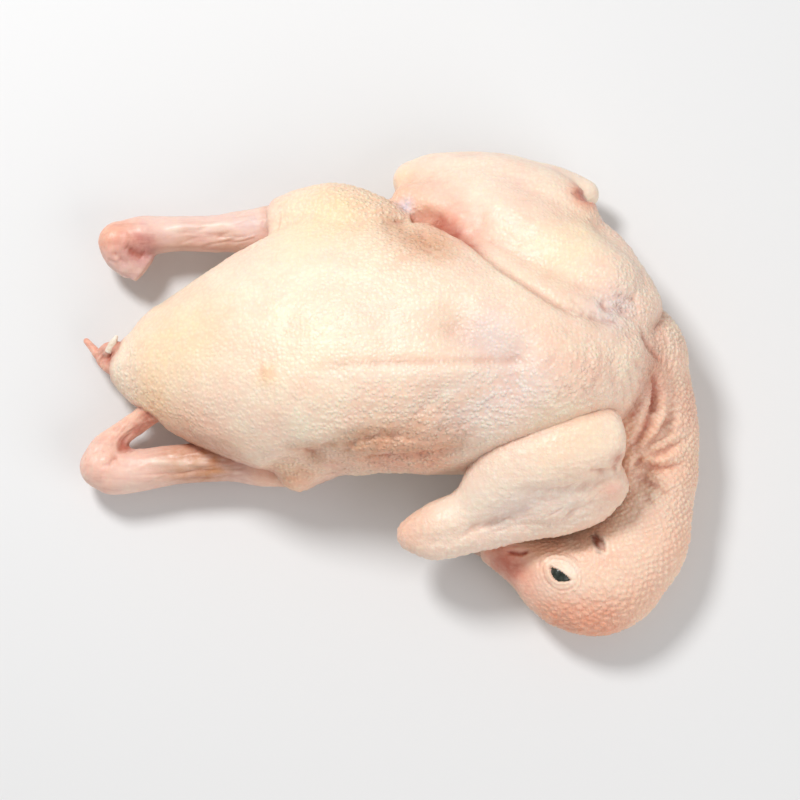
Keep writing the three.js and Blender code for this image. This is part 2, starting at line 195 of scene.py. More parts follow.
# What each limb's middle line passes: x, y, z, half width and half height in mm, tilt in degrees
limbs = {
    "rightThigh": [
        [3.4, 27.8, 26, 18, 19, 0], [-5.8, 42, 23, 16, 17, 0], [-14.9, 49, 20, 13, 14.5, 0],
        [-23.9, 50.6, 17, 10.5, 12, 0], [-32, 50.2, 14.8, 8.6, 9.8, 0]],
    "rightDrumstick": [
        [-20, 50, 15, 8.2, 9, 0], [-34.6, 49.5, 13.5, 7.2, 8.2, 0], [-43.6, 48.8, 12.5, 6.3, 7.2, 0],
        [-54.8, 48.5, 11.5, 5.5, 6.2, 0], [-64.8, 48.5, 11, 5.3, 5.9, 0], [-73.8, 47.6, 11, 6.2, 6.6, 0],
        [-79.6, 46, 11, 6.3, 6.8, 0]],
    "rightHock": [[-80.2, 46, 11, 6.4, 6.8, 0], [-79.4, 42.6, 10.8, 6, 6.2, 0], [-77.4, 40, 10.4, 5, 5.2, 0]],
    "rightFlap": [
        [-78.8, 42.4, 11, 5, 4.6, 0], [-75.4, 39.8, 11.5, 5.4, 3.2, 0], [-72.8, 38, 11.5, 5, 2.4, 0]],
    "leftThigh": [
        [5.9, 0.7, 24, 17, 17, 0], [-7.4, -10.9, 21, 15, 15.5, 0], [-16.4, -15.2, 18.5, 11.5, 12.5, 0],
        [-23, -19.5, 17, 9.5, 10.5, 0], [-28.5, -23.3, 15.5, 7.4, 9, 0]],
    "leftDrumstick": [
        [-20, -19, 15, 7.6, 8.6, 0], [-37, -20.6, 12.5, 7.4, 8.6, 0], [-45.2, -20.7, 12, 6.3, 7.6, 0],
        [-54.2, -21.1, 11.5, 5.9, 7, 0], [-63.3, -22, 11, 5.8, 6.6, 0], [-72.4, -23.1, 10.5, 6.5, 6.9, 0],
        [-80.5, -23.4, 10.5, 7.4, 7.4, 0], [-85, -22.2, 10.5, 6.9, 7.1, 0]],
    "leftShank": [
        [-85, -22.2, 10.5, 6.7, 6.9, 0], [-83.8, -17.4, 10.5, 5.6, 5.8, 0], [-80.2, -13.4, 10.5, 4.2, 4.7, 0],
        [-75, -9.6, 11.5, 3.7, 4, 0], [-69.1, -5.3, 14, 3.6, 3.8, 0], [-60, -0.6, 18, 3.4, 3.6, 0]],
    "rightForearm": [
        [8.2, 64.9, 11, 6, 7, -8], [16.6, 66.5, 12, 6.6, 7.4, -10], [28.6, 66.6, 13, 6.4, 7.6, -12],
        [40.6, 65.3, 13.5, 6.2, 7.8, -12], [51.1, 63.2, 13.5, 5.6, 7.2, -12], [60.6, 60.4, 13, 4, 5.6, -12]],
    "rightHumerus": [
        [8.9, 61.8, 11, 6, 7, -10], [16.5, 60.3, 14, 9, 9.5, -16], [26.9, 54.4, 21, 12, 13, -22],
        [38.6, 44.9, 27, 14.5, 15, -24], [51, 34.7, 31, 16, 16, -24], [62.5, 27.3, 32, 14, 16, -20]],
    "rightPlate": [
        [14.5, 64, 13, 8, 8, -16], [25.5, 60.8, 17, 11, 10.5, -22], [37.3, 56.5, 20, 13.5, 13, -26],
        [47, 52, 22, 13.5, 14.5, -28], [53, 47, 23, 11.5, 14, -28]],
    "rightWeb": [
        [48, 55, 14.5, 5.5, 7, 0], [53, 49.5, 17.5, 8, 9, 0], [58.6, 41.5, 21, 11.4, 11, 0],
        [63.8, 32.8, 25, 12.8, 14, 0], [69.5, 22.1, 27, 13, 16, 0]],
    "rightArmpit": [
        [7.5, 57, 19, 5.4, 7.5, 0], [12.5, 55, 20.5, 7, 9, 0], [19, 51.5, 24, 8, 10, 0],
        [26, 47, 28, 8, 10, 0]],
    "leftHumerus": [
        [9.3, -43, 23, 5.5, 6.5, 0], [16.3, -40.6, 25.5, 6.6, 7.6, 6], [26, -36.6, 28, 7.6, 8.6, 6],
        [33, -29.8, 32, 10.5, 12, 4], [40, -23.8, 35, 13, 14, 2], [51, -19.4, 36.5, 14, 15, 0],
        [60, -17.6, 36, 12.5, 15, 0], [64.3, -17, 34.5, 11, 13.5, 0]],
    "leftForearm": [
        [9.2, -43.6, 23, 5.5, 6.5, 0], [16.4, -45.3, 24, 5.8, 6.6, 6], [28.3, -42.7, 26, 5.9, 6.8, 8],
        [40.1, -40.2, 27, 6.2, 7, 8], [52, -37.9, 28, 6.6, 7, 8], [60.8, -35, 28.5, 6.2, 6.6, 6],
        [66, -32, 28.5, 4.8, 5.6, 0]],
    "leftPlate": [
        [13.4, -41.6, 23, 6.5, 6, 6], [25.2, -38.2, 26, 8.4, 7.2, 8], [37, -32.6, 30, 11.5, 9, 8],
        [48.8, -30, 31, 12.5, 10, 8], [60.6, -26.1, 31, 12, 10.5, 6], [63.5, -23.7, 31, 10.5, 10, 4]],
    "neckBase": [
        [60, 12, 26, 16, 16, 0], [70, 6, 25, 14, 16, 0], [75, -5, 21, 12, 14.5, 0],
        [76, -17, 17, 10.5, 12, 0], [73, -26, 14, 9, 11, 0]],
    "neck": [
        [59.4, 10.6, 24, 15, 16, 0], [73.7, 11.1, 20, 15.5, 16.5, 0], [79.6, 1.4, 15.5, 12.2, 15, 0],
        [81.7, -11.7, 14, 12.2, 14, 0], [81.2, -23.7, 13.2, 12.4, 13.2, 0],
        [78.8, -35.8, 12.8, 13.4, 12.8, 0], [73.7, -47, 12.5, 15.5, 12.6, 0],
        [66.2, -54.8, 12.3, 16.8, 12.6, 0]],
    "head": [
        [73.7, -47, 12.5, 15.5, 12.6, 0], [66.2, -54.8, 12.3, 16.8, 12.8, 0],
        [58.1, -56.7, 12.2, 15.8, 12.6, 0], [50.3, -54.8, 12, 13.2, 12, 0], [43.7, -51.8, 11.5, 9.4, 9.8, 0],
        [38.3, -49.6, 11, 6.6, 7.8, 0], [33.2, -47.4, 10.2, 4.6, 5.8, 0]],
    "tailStrip": [
        [-78, 7.5, 11.5, 3.8, 3.8, 0], [-83.2, 8.8, 9.8, 2.8, 2.6, 0], [-87, 12.2, 8.6, 1.6, 1.8, 0],
        [-90.6, 16.2, 7.4, 0.9, 1, 0]],
    "tailKnob": [
        [-79, 12.2, 12.5, 2.8, 2.8, 0], [-82.4, 13.4, 11.4, 2.5, 2.4, 0], [-85, 12.2, 10.2, 2.2, 2.2, 0],
        [-85.6, 10, 9.6, 1.6, 1.8, 0]],
}
domeLengths = {
    "rightThigh": 0.3, "leftThigh": 0.4, "rightFlap": 0.25, "leftHumerus": 0.35, "leftPlate": 0.5,
    "neckBase": 0.5,
}

# The skin is made in six parts, which tuck into one another at the bird's own creases. A voxel is in mm, and
# rounds and fill say how often and how strongly the hollows between limbs are filled.
parts = {
    "bodySkin": {
        "limbs": [
            "rightThigh", "leftThigh", "rightForearm", "rightHumerus", "rightPlate", "rightWeb", "rightArmpit"],
        "voxel": 0.8, "rounds": 38, "fill": 0.6},
    "rightLegSkin": {
        "limbs": ["rightDrumstick", "rightHock", "rightFlap"], "voxel": 0.5, "rounds": 10, "fill": 0.4},
    "leftLegSkin": {"limbs": ["leftDrumstick", "leftShank"], "voxel": 0.5, "rounds": 26, "fill": 0.45},
    "leftWingSkin": {
        "limbs": ["leftHumerus", "leftForearm", "leftPlate"], "voxel": 0.5, "rounds": 60, "fill": 0.6},
    "tailSkin": {"limbs": ["tailStrip", "tailKnob"], "voxel": 0.3, "rounds": 6, "fill": 0.3},
    "neckSkin": {"limbs": ["neckBase", "neck", "head"], "voxel": 0.45, "rounds": 54, "fill": 0.5},
}
# How strongly the whole skin is evened meanwhile, and again after folds are pressed in
easing = {"even": 0.08, "foldRounds": 2, "foldEven": 0.3}


# Joins closed skins into one, as a mesh of even quads
def fuseSkins(skins, voxel):
    points, faces, start = [], [], 0
    for p, f in skins:
        points.append(p)
        faces += [[v + start for v in face] for face in f]
        start += len(p)
    rough = bpy.data.meshes.new("rough")
    rough.from_pydata(np.vstack(points).tolist(), [], faces)
    holder = bpy.data.objects.new("rough", rough)
    bpy.context.scene.collection.objects.link(holder)
    fuse = holder.modifiers.new("fuse", "REMESH")
    fuse.mode, fuse.voxel_size, fuse.adaptivity = "VOXEL", voxel, 0
    graph = bpy.context.evaluated_depsgraph_get()
    fused = bpy.data.meshes.new_from_object(holder.evaluated_get(graph))
    co = np.empty(len(fused.vertices) * 3, np.float32)
    fused.vertices.foreach_get("co", co)
    quads = np.empty(len(fused.loops), np.int32)
    fused.loops.foreach_get("vertex_index", quads)
    bpy.data.objects.remove(holder)
    bpy.data.meshes.remove(rough)
    bpy.data.meshes.remove(fused)
    return co.reshape(-1, 3).astype(float), quads.reshape(-1, 4)


class Skin:
    def __init__(self, co, quads):
        self.co, self.quads = co, quads
        sides = np.vstack([quads[:, [0, 1]], quads[:, [1, 2]], quads[:, [2, 3]], quads[:, [3, 0]]])
        self.edges = np.unique(np.sort(sides, axis=1), axis=0)
        self.degree = np.bincount(self.edges.ravel(), minlength=len(co))[:, None]

    # each point's neighbours' mean
    def mean(self, values):
        a, b = self.edges.T
        total = [np.bincount(a, v[b], len(v)) + np.bincount(b, v[a], len(v)) for v in values.T]
        return np.stack(total, 1) / self.degree

    # values after so many rounds of taking their neighbours' mean
    def evened(self, values, rounds):
        for i in range(rounds):
            values = self.mean(values)
        return values

    # each point's normal: the sum of its quads' crossed diagonals
    def normals(self):
        p, q = self.co, self.quads
        cross = np.cross(p[q[:, 2]] - p[q[:, 0]], p[q[:, 3]] - p[q[:, 1]])
        return unit(np.stack([np.bincount(q.ravel(), np.repeat(v, 4), len(p)) for v in cross.T], 1))

    # fills hollows by moving points out to their neighbours' mean, and evens all by a share of that move
    def ease(self, rounds, fill, even):
        for i in range(rounds):
            if i % 4 == 0:  # normals change slowly
                normal = self.normals()
            pull = self.mean(self.co) - self.co
            out = np.sum(pull * normal, 1, keepdims=True)
            self.co = self.co + even * pull + fill * np.maximum(out, 0) * normal

    # moves each point along its normal by a height
    def raiseBy(self, height):
        self.co = self.co + height[:, None] * self.normals()


skins = {}
for name, made in parts.items():
    lofts = [trunkSkin()] if name == "bodySkin" else []
    lofts += [carriedEllipse(limbs[limb], domeLengths.get(limb, 1.0)) for limb in made["limbs"]]
    co, quads = fuseSkins(lofts, made["voxel"])
    co[:, 2] = np.maximum(co[:, 2], 0)  # the soft flesh lies flat on what is under it
    skin = Skin(co, quads)
    skin.ease(made["rounds"], made["fill"], easing["even"])
    skin.rest, skin.voxel = skin.co.copy(), made["voxel"]
    skins[name] = skin
    print(name, len(co), "points")

restPoints = np.vstack([skin.rest for skin in skins.values()])
restSeen = seen(restPoints)


# The skin's own places at pixels of the camera's view: the mean of what lies within so many pixels, or hardly
# further off than the nearest point, and no more than a depth in mm behind what the camera sees first
def skinAt(pixels, within=3, further=1.5, depth=2):
    places = []
    for pixel in pixels:
        gap = np.sum((restSeen[:, :2] - pixel) ** 2, 1)
        near = np.nonzero(gap < max(within ** 2, further * gap.min()))[0]
        near = near[restSeen[near, 2] < restSeen[near, 2].min() + depth]
        places.append(restPoints[near].mean(0))
    return np.array(places)


# Which points lie by a line of places, how near each is to it, and how far along it as a share. Heights count
# for about a third, so that a line still holds where the skin is a little above or below it.
def nearLine(points, places, reach, heightWeight=0.35, steps=8):
    shrink = np.array([1, 1, heightWeight])
    line = lineThrough(places, steps * len(places)) * shrink
    middle, half = (line.max(0) + line.min(0)) / 2, (line.max(0) - line.min(0)) / 2
    inside = np.nonzero((np.abs(points * shrink - middle) < half + reach).all(1))[0]
    q = points[inside] * shrink
    nearest, share = np.full(len(q), 1e9), np.zeros(len(q))
    for k in range(len(line) - 1):
        step = line[k + 1] - line[k]
        f = np.clip((q - line[k]) @ step / (step @ step), 0, 1)
        distance = np.linalg.norm(q - line[k] - f[:, None] * step, axis=1)
        closer = distance < nearest
        nearest[closer] = distance[closer]
        share[closer] = (k + f[closer]) / (len(line) - 1)
    return inside, nearest, share


# Folds and ridges pressed into the skin: width, depth, the shares of its length over which each fades in and
# out, and the pixels that it passes
folds = {
    "keelGroove": [1.6, -0.6, 0.5, 0.4, [(290, 369), (360, 364), (430, 361), (500, 360), (545, 362)]],
    "keelRidge": [3.0, 0.6, 0.4, 0.4, [(275, 379), (360, 374), (430, 371), (510, 369), (550, 370)]],
    "keelTip": [2.4, 0.5, 0, 0, [(264, 372), (270, 371)]],
    "upperHollow": [6.5, -2.7, 0.3, 0.3, [(428, 296), (450, 322), (480, 342), (515, 356), (545, 364)]],
    "lowerHollow": [5.2, -2.0, 0.3, 0.3, [(385, 432), (430, 412), (470, 393), (505, 377), (540, 367)]],
    "lowerHollowB": [4.2, -1.3, 0.3, 0.3, [(425, 442), (462, 420), (500, 400), (535, 384)]],
    "lowerRidge": [3.6, 1.1, 0.3, 0.3, [(400, 437), (440, 417), (480, 399), (515, 384)]],
    "flankFold": [1.6, -1.5, 0.3, 0.3, [(345, 464), (372, 461), (410, 458), (450, 453), (485, 446)]],
    "flankRidge": [2.2, 0.9, 0.2, 0.3, [(345, 452), (375, 447), (410, 444), (455, 440)]],
    "flankFoldB": [1.6, -0.7, 0.3, 0.3, [(330, 452), (360, 441), (392, 436), (420, 436)]],
    "rightCrease": [2.0, -2.2, 0, 0.35, [
        (412, 215), (427, 214), (447, 223), (468, 235), (490, 252), (520, 276), (560, 302), (594, 318),
        (620, 330)]],
    "axilla": [2.6, -1.2, 0.1, 0.5, [(398, 214), (404, 230), (416, 248)]],
    "axillaB": [1.8, -0.9, 0.3, 0.5, [(414, 221), (424, 236), (438, 250)]],
    "axillaC": [1.8, -0.7, 0.3, 0.5, [(384, 214), (390, 230), (400, 246)]],
    "frontFold": [1.3, -1.3, 0.3, 0.3, [(638, 324), (647, 339), (657, 353), (667, 368)]],
    "frontFoldB": [1.4, -1.7, 0.3, 0.2, [(655, 368), (657, 384), (658, 402), (656, 420)]],
    "frontFoldC": [1.8, -0.5, 0.3, 0.3, [(606, 350), (614, 372), (618, 392)]],
    "shoulderA": [1.6, -0.9, 0.3, 0.3, [(596, 300), (612, 308), (632, 309)]],
    "shoulderB": [1.6, -0.8, 0.3, 0.3, [(588, 312), (606, 320), (626, 320)]],
    "shoulderC": [1.8, -0.8, 0.4, 0.2, [(565, 298), (582, 306), (600, 318)]],
    "shoulderD": [1.4, -0.7, 0.3, 0.3, [(612, 292), (626, 298), (640, 300)]],
    "kneeFold": [2.0, -1.5, 0.2, 0.3, [(258, 472), (282, 465), (305, 459), (322, 451), (340, 446)]],
    "kneeFoldB": [1.2, -0.8, 0.3, 0.3, [(290, 452), (305, 456), (322, 462)]],
    "kneeFoldC": [1.2, -0.3, 0.3, 0.3, [(300, 440), (310, 450), (314, 462)]],
    "neckFoldA": [1.9, -2.2, 0.3, 0.15, [(660, 380), (658, 402), (650, 424), (640, 440), (629, 452)]],
    "neckFoldB": [1.7, -1.8, 0.4, 0.3, [(674, 390), (672, 414), (662, 434), (648, 449), (634, 458)]],
    "neckFoldC": [1.5, -1.4, 0.4, 0.3, [(694, 430), (678, 444), (658, 454), (634, 460)]],
    "neckFoldD": [1.8, -2.2, 0.4, 0.15, [(690, 462), (670, 467), (650, 467), (629, 462)]],
    "neckFoldE": [1.6, -1.2, 0.4, 0.3, [(684, 500), (662, 490), (646, 479), (633, 468)]],
    "neckFoldF": [1.4, -0.6, 0.4, 0.3, [(660, 520), (650, 502), (640, 486), (632, 474)]],
    "neckRidge": [1.6, 0.9, 0.4, 0.1, [(668, 396), (664, 416), (654, 434), (638, 450)]],
    "neckRidgeB": [1.5, 0.8, 0.4, 0.1, [(684, 452), (664, 460), (640, 462)]],
    "forearmFold": [1.7, -0.9, 0.4, 0.1, [(500, 500), (530, 492), (560, 489), (585, 484), (610, 470)]],
    "forearmFoldB": [1.5, -0.7, 0.3, 0.4, [(458, 538), (475, 527), (500, 519), (525, 513)]],
    "forearmFoldC": [1.5, -0.6, 0.3, 0.4, [(560, 520), (578, 508), (600, 498)]],
    "forearmRidge": [2.4, 0.5, 0.3, 0.3, [(500, 510), (530, 501), (560, 498), (590, 494)]],
    "wingTipFold": [1.0, -1.0, 0.2, 0, [(586, 470), (602, 474), (618, 470)]],
    "mouth": [0.6, -1.1, 0.1, 0.2, [(498, 549), (510, 552), (521, 553), (531, 550)]],
    "browFold": [0.8, -0.4, 0.3, 0.3, [(546, 556), (560, 553), (574, 558), (583, 568)]],
    "cheekFold": [0.9, -0.4, 0.3, 0.3, [(532, 558), (542, 566), (548, 580), (558, 590)]],
    "hockFold": [0.9, -0.7, 0.3, 0.3, [(126, 244), (134, 254), (150, 258)]],
    "hockFoldB": [0.9, -0.6, 0.3, 0.3, [(112, 250), (122, 260), (132, 266)]],
    "kneePitFold": [0.9, -0.7, 0.2, 0.3, [(118, 452), (110, 462), (98, 468)]],
    "tendonRight": [0.8, 0.5, 0.3, 0.3, [(236, 222), (200, 226), (160, 228)]],
    "tendonRightB": [0.8, -0.4, 0.3, 0.3, [(240, 232), (205, 238), (170, 238)]],
    "tendonLeft": [0.9, 0.5, 0.3, 0.3, [(215, 462), (180, 464), (140, 460)]],
    "tendonLeftB": [0.9, -0.4, 0.3, 0.3, [(225, 472), (185, 473), (140, 472)]],
}


# Pushes the skin in or out along each line by its depth times e^-(distance / width)^2, faded at both ends and
# left out where it is nearly 0
def pressFolds(skin, reach=3):
    height = np.zeros(len(skin.co))
    for width, depth, fadeIn, fadeOut, places in foldLines:
        at, distance, share = nearLine(skin.rest, places, reach * width)
        ends = soften(share / max(fadeIn, 1e-3)) * soften((1 - share) / max(fadeOut, 1e-3))
        height[at] += depth * ends * np.exp(-(distance / width) ** 2)
    skin.raiseBy(height)


# Mounds and dents: the pixel at the middle, half length and half width in mm, how far the length is turned
# from x in degrees, and the height in mm
swells = {
    "eyeMound": [(561, 573), 6.4, 5.4, -33, 1.5],
    "earMound": [(602, 543), 4.5, 3.5, -50, 0.5],
    "faceHollow": [(520, 566), 5.0, 3.4, -25, -1.0],
    "jowl": [(600, 596), 9, 6, 10, 0.5],
    "wristHollow": [(587, 196), 3.4, 2.2, -14, -0.4],
    "wristLip": [(594, 206), 3.0, 2.0, -40, 0.5],
    "kneeKnob": [(288, 482), 8, 4, -8, 1.2],
    "wingTipNub": [(615, 487), 3.2, 3.6, 0, 0.9],
    "wingTipNotch": [(622, 464), 1.8, 2.4, 0, -1.3],
    "hockKnob": [(106, 240), 4.5, 4.5, 0, 0.6],
    "footKnob": [(92, 464), 4.5, 5, 0, 0.6],
    "kneePit": [(126, 440), 3.0, 2.6, 40, -1.0],
    "thighTop": [(345, 205), 10, 8, 0, 0.8],
    "keelFront": [(590, 380), 10, 8, 0, 0.6],
}


# Distances from a place along and across a direction in plan, and the height above it
def turned(points, place, degrees):
    c, s = np.cos(np.radians(degrees)), np.sin(np.radians(degrees))
    x, y, z = (points - place).T
    return x * c + y * s, y * c - x * s, z


# Bells over ovals: each adds its height times e to minus the squares of the distances along, across and up,
# as shares of its half length, its half width and twice the larger of them
def swellUp(skin):
    height = np.zeros(len(skin.co))
    for (pixel, long, short, degrees, rise), place in zip(swells.values(), swellPlaces):
        u, v, z = turned(skin.rest, place, degrees)
        height += rise * np.exp(-(u / long) ** 2 - (v / short) ** 2 - (z / (2 * max(long, short))) ** 2)
    skin.raiseBy(height)


# Openings: the part and the pixel that they lie at, how far the long line is turned from x in degrees, then in
# mm half its length, how far it gapes above and below, its depth, the height of the rim and of the rings
# around it, and how far off the rings are highest
slits = {
    "eye": {
        "part": "neckSkin", "pixel": (560, 574), "turn": -34, "half": 3.6, "above": 0.25, "below": 2.0,
        "depth": 2.3, "rim": 0.36, "rings": 0.2, "ringAt": 4.6},
    "ear": {
        "part": "neckSkin", "pixel": (600, 543), "turn": -58, "half": 3.2, "above": 1.3, "below": 1.5,
        "depth": 1.3, "rim": 0.35, "rings": 0, "ringAt": 3},
    "wrist": {
        "part": "bodySkin", "pixel": (585, 196), "turn": -10, "half": 4.2, "above": 2.2, "below": 1.6,
        "depth": 0.5, "rim": 0.35, "rings": 0, "ringAt": 3},
}
slitShape = {"wall": 0.5, "rimAt": 0.75, "rimWidth": 0.55, "ringGap": 1.15, "ringSpread": 1.7, "ringOval": 0.8}


# An opening whose edges are parabolas on each side of its long line, sunk inside them within the width of its
# wall, with a bell as its rim and wavering rings around it that fade as a bell too
def openSlit(skin, slit, place, waver=1.5, waverSize=3.0, seed=61, reach=7):
    u, v, z = turned(skin.rest, place, slit["turn"])
    arch = np.maximum(1 - (u / slit["half"]) ** 2, 0)
    past = np.abs(v) - arch * np.where(v > 0, slit["above"], slit["below"])
    shape = slitShape
    height = -slit["depth"] * soften(0.5 - past / shape["wall"]) * (arch > 0)
    rim = np.exp(-((past - shape["rimAt"]) / shape["rimWidth"]) ** 2)
    height += slit["rim"] * rim * soften(arch * 4 + 0.3)
    far = np.sqrt((u * shape["ringOval"]) ** 2 + v ** 2)
    ripple = np.sin(2 * np.pi * far / shape["ringGap"] + waver * softNoise(skin.rest, waverSize, seed))
    height += slit["rings"] * ripple * np.exp(-((far - slit["ringAt"]) / shape["ringSpread"]) ** 2)
    skin.raiseBy(height * (np.abs(z) < reach))


# Creased patches: direction in degrees, crease length and width, depth, and the pixels they lie on, each with
# a radius in mm and a strength
creases = {
    "flank": [38, 9, 2.8, 0.5, [
        (370, 440, 11, 0.9), (420, 430, 11, 0.8), (330, 452, 8, 0.7), (460, 438, 8, 0.7),
        (400, 458, 8, 0.6)]],
    "flankLumps": [-50, 4.5, 3, 0.65, [
        (380, 468, 7, 0.9), (425, 465, 7, 0.9), (345, 474, 6, 0.7), (300, 488, 7, 0.5)]],
    "knee": [20, 6, 2.2, 0.4, [(308, 456, 6, 0.9), (288, 462, 6, 0.6), (328, 464, 5, 0.6)]],
    "front": [-70, 9, 2.6, 0.5, [
        (645, 375, 8, 0.9), (630, 345, 7, 0.8), (648, 400, 7, 0.9), (620, 390, 8, 0.6)]],
    "breast": [-60, 7, 2.6, 0.5, [(585, 365, 10, 0.8), (550, 350, 9, 0.5), (560, 388, 8, 0.6)]],
    "shoulder": [-15, 6, 2.3, 0.35, [
        (606, 308, 7, 0.9), (625, 300, 6, 0.8), (590, 320, 6, 0.7), (570, 304, 6, 0.5)]],
    "axilla": [-35, 6, 2.4, 0.35, [
        (410, 234, 8, 0.9), (436, 246, 8, 0.8), (394, 218, 6, 0.7), (462, 258, 7, 0.5)]],
    "sleeve": [75, 5, 2.2, 0.45, [(276, 210, 5, 0.9), (268, 228, 5, 0.9), (252, 242, 5, 0.9)]],
    "leftWing": [26, 9, 2.4, 0.3, [
        (520, 512, 9, 0.9), (560, 506, 9, 0.9), (595, 496, 7, 0.9), (480, 526, 7, 0.7), (450, 530, 8, 0.5),
        (548, 480, 8, 0.3)]],
    "rightWing": [-25, 12, 4, 0.3, [(450, 190, 12, 0.7), (505, 202, 12, 0.6), (560, 225, 12, 0.5)]],
    "neck": [15, 9, 2.2, 0.4, [
        (661, 440, 9, 0.9), (680, 425, 8, 0.6), (655, 470, 8, 0.6), (642, 492, 6, 0.3)]],
    "neckSide": [80, 11, 3, 0.3, [(690, 400, 9, 0.7), (674, 350, 8, 0.7), (686, 500, 10, 0.4)]],
    "legs": [3, 14, 1.5, 0.4, [
        (250, 226, 8, 0.9), (222, 232, 8, 0.8), (190, 234, 7, 0.7), (220, 464, 8, 0.9), (185, 467, 8, 0.8),
        (150, 468, 7, 0.5)]],
    "hocks": [60, 5, 1.7, 0.5, [
        (114, 250, 6, 0.8), (96, 464, 6, 0.8), (116, 438, 5, 0.8), (138, 258, 5, 0.6)]],
    "shank": [35, 7, 1.5, 0.5, [(132, 430, 5, 0.9), (146, 418, 5, 0.9)]],
    "bellyEdge": [-38, 6, 1.8, 0.35, [
        (150, 400, 7, 0.8), (190, 430, 8, 0.8), (230, 454, 8, 0.8), (260, 468, 6, 0.8)]],
    "tail": [15, 7, 2.2, 0.35, [(130, 372, 8, 0.8), (152, 404, 8, 0.8), (140, 345, 7, 0.5)]],
    "tailEnd": [40, 3, 1.2, 0.5, [(104, 354, 5, 0.9)]],
}
# The grooves' depth and width, and the finer noise: its turn, its length and width as shares of the long one's
# and its strength
creaseShape = {
    "lift": 0.35, "narrow": 0.42, "slant": 0.3, "turn": 14, "long": 0.6, "short": 0.55, "finer": 0.6,
}


# Noise drawn out along a direction in plan, for creased skin
def creased(points, degrees, long, short, seed, tall=0.6):
    u, v, z = turned(points, 0, degrees)
    return softNoise(np.stack([u / long, v / short, z / (tall * long)], 1), 1, seed)


# What round spots spare of a share: each takes its strength times e^-(distance / radius)^2 of what is left
def spared(left, points, spots, places, heightWeight=1):
    for (x, y, radius, strength), place in zip(spots, places):
        gap = (points - place) * [1, 1, heightWeight]
        left = left * (1 - strength * np.exp(-np.sum(gap * gap, 1) / radius ** 2))
    return left


# Adds the creased patches to a height. With n the sum of a long noise and a finer one that is turned a little,
# each adds lift - e^-(n / narrow)^2 + slant n, so it cuts a groove wherever n passes 0.
def addCreases(height, points, seeds=(11, 12)):
    shape = creaseShape
    for key, (degrees, long, short, amount, patches) in creases.items():
        left = spared(1, points, patches, creaseSpots[key])
        finer = creased(points, degrees + shape["turn"], shape["long"] * long, shape["short"] * short, seeds[1])
        n = creased(points, degrees, long, short, seeds[0]) + shape["finer"] * finer
        groove = shape["lift"] - np.exp(-(n / shape["narrow"]) ** 2) + shape["slant"] * n
        height += amount * (1 - left) * groove


# Tints by limb, as shares from 0 to 1, then what the trunk has away from them
limbTints = {
    "rightThigh": {"fat": 0.35, "pores": 0.5}, "leftThigh": {"fat": 0.2, "pores": 0.6},
    "rightDrumstick": {"blush": 0.35, "sleek": 1, "chillAndShade": 0.35}, "rightHock": {"blush": 0.5, "sleek": 1},
    "rightFlap": {"chillAndShade": 0.8, "blush": 0.3, "sleek": 1},
    "leftDrumstick": {"blush": 0.45, "sleek": 0.8, "chillAndShade": 0.25, "pores": 0.5},
    "leftShank": {"blush": 0.55, "sleek": 1}, "rightForearm": {"sleek": 0.7, "chillAndShade": 0.15},
    "rightHumerus": {"sleek": 0.3, "pores": 0.3}, "rightPlate": {"sleek": 0.2, "pores": 0.5},
    "rightWeb": {"pores": 0.8, "blush": 0.08, "chillAndShade": 0.1}, "rightArmpit": {"blush": 0.3, "sleek": 0.4},
    "leftHumerus": {"fat": 0.06, "pale": 0.3, "blush": 0.05, "pores": 0.5},
    # the pale on the left forearm is painted light on its side turned from the lamps
    "leftForearm": {"pores": 0.9, "blush": 0.16, "chillAndShade": 0.1, "pale": 0.6},
    "leftPlate": {"fat": 0.06, "pale": 0.3, "blush": 0.05, "pores": 0.5},
    "neckBase": {"peach": 0.05, "pores": 0.6}, "neck": {"peach": 0.12, "pores": 0.7},
    "head": {"peach": 0.08, "pores": 0.5}, "tailStrip": {"blush": 0.8, "sleek": 1},
    "tailKnob": {"blush": 0.9, "blood": 0.25, "sleek": 1},
}
trunkTints = {"pores": 0.33, "fat": 0.05}

